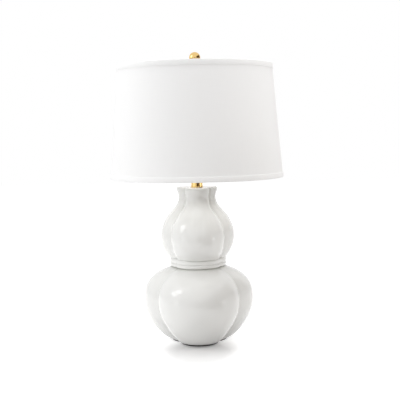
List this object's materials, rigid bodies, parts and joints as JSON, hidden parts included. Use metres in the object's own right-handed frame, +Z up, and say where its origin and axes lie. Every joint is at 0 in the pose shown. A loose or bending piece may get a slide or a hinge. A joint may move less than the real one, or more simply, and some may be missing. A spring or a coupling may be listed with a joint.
{
  "type": "double gourd table lamp",
  "caption": "Table lamp with a lobed double gourd ceramic base, brass neck, harp, round tapered fabric shade and ball finial.",
  "frame": {"origin": "on the lamp's axis, on the surface that the felt pad stands on", "axes": "+Z up along the lamp pipe; the front lobe and the switch knob face -Y; the harp lies in the XZ plane; the cord inlet faces +Y"},
  "size_m": [0.4315, 0.4315, 0.72],
  "materials": {
    "glaze": "clear glossy glaze on white porcelain",
    "felt": "black wool felt",
    "bushing_plastic": "moulded nylon",
    "zinc_steel": "bright zinc plate",
    "brass": "polished and lacquered",
    "socket_brass": "drawn shell, polished",
    "terminal_brass": "plain",
    "thread_aluminium": "rolled thread, plain",
    "fibre_liner": "vulcanised fibre",
    "phenolic": "moulded phenolic",
    "knob_plastic": "moulded, fluted",
    "linen": "white woven cloth laminated to styrene",
    "trim_fabric": "white woven cloth, folded tape",
    "styrene": "white styrene sheet",
    "white_wire": "white powder coat on welded wire",
    "finial_brass": "turned, polished and lacquered"
  },
  "bodies": {
    "base": {"ceramic_body": "glaze", "felt_pad": "felt", "cord_bushing": "bushing_plastic", "base_washer": "zinc_steel", "lock_washer": "zinc_steel", "base_nut": "zinc_steel", "lamp_pipe": "zinc_steel", "check_ring": "brass", "brass_neck": "brass", "harp_saddle": "brass", "socket_cap": "socket_brass", "cap_set_screw": "zinc_steel", "socket_shell": "socket_brass", "socket_liner": "fibre_liner", "socket_interior": "phenolic", "terminal_screws": "terminal_brass", "centre_contact": "terminal_brass", "screw_shell": "thread_aluminium"},
    "switch": {"switch_shaft": "zinc_steel", "switch_knob": "knob_plastic"},
    "harp": {"harp_loop": "brass", "harp_stud": "brass"},
    "ferrule_right": {"ferrule_right": "brass"},
    "ferrule_left": {"ferrule_left": "brass"},
    "shade": {"shade_fabric": "linen", "shade_lining": "styrene", "shade_top_ring": "white_wire", "shade_bottom_ring": "white_wire", "shade_top_trim": "trim_fabric", "shade_bottom_trim": "trim_fabric", "spider_hub": "white_wire", "spider_arms": "white_wire"},
    "finial": {"finial_base": "finial_brass", "finial_ball": "finial_brass"}
  },
  "joints": [
    {"name": "switch_turn", "type": "hinge", "parent": "base", "child": "switch", "pos_m": [0, -0.022, 0.446], "axis": [0, -1, 0], "continuous": true},
    {"name": "harp_lift", "type": "slide", "parent": "base", "child": "harp", "axis": [0, 0, 1], "range_m": [0, 0.12]},
    {"name": "ferrule_right_lift", "type": "slide", "parent": "harp", "child": "ferrule_right", "axis": [0, 0, 1], "range_m": [0, 0.016]},
    {"name": "ferrule_left_lift", "type": "slide", "parent": "harp", "child": "ferrule_left", "axis": [0, 0, 1], "range_m": [0, 0.016]},
    {"name": "shade_turn", "type": "hinge", "parent": "harp", "child": "shade", "pos_m": [0, 0, 0.67], "axis": [0, 0, 1], "continuous": true},
    {"name": "finial_lift", "type": "slide", "parent": "harp", "child": "finial", "axis": [0, 0, 1], "range_m": [0, 0.04]}
  ]
}
